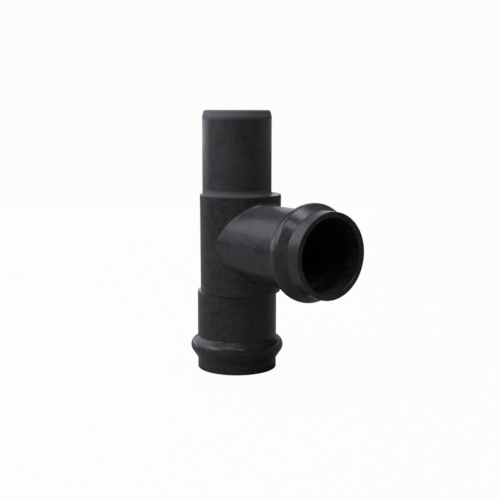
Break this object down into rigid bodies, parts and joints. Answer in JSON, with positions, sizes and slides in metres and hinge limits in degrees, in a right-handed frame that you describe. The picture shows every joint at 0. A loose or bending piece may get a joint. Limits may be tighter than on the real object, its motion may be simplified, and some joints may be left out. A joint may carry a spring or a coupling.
{
  "type": "socket tee",
  "caption": "Pressure pipe tee with a plain spigot at the top of the run and bulged rubber-ring sockets at the bottom of the run and on the branch.",
  "frame": {"origin": "centre of the run socket's mouth, on the run axis, in the plane that the tee stands on", "axes": "+Z along the run axis, from the run socket's mouth to the spigot's end; +X along the branch axis, out of the branch socket's mouth"},
  "size_m": [0.1716, 0.0852, 0.2368],
  "materials": {
    "dark_grey_pvc": "satin moulded PVC-U",
    "ring_rubber": "matt black EPDM"
  },
  "bodies": {
    "root": {"tee_body": "dark_grey_pvc", "run_seal": "ring_rubber", "branch_seal": "ring_rubber"}
  },
  "joints": []
}
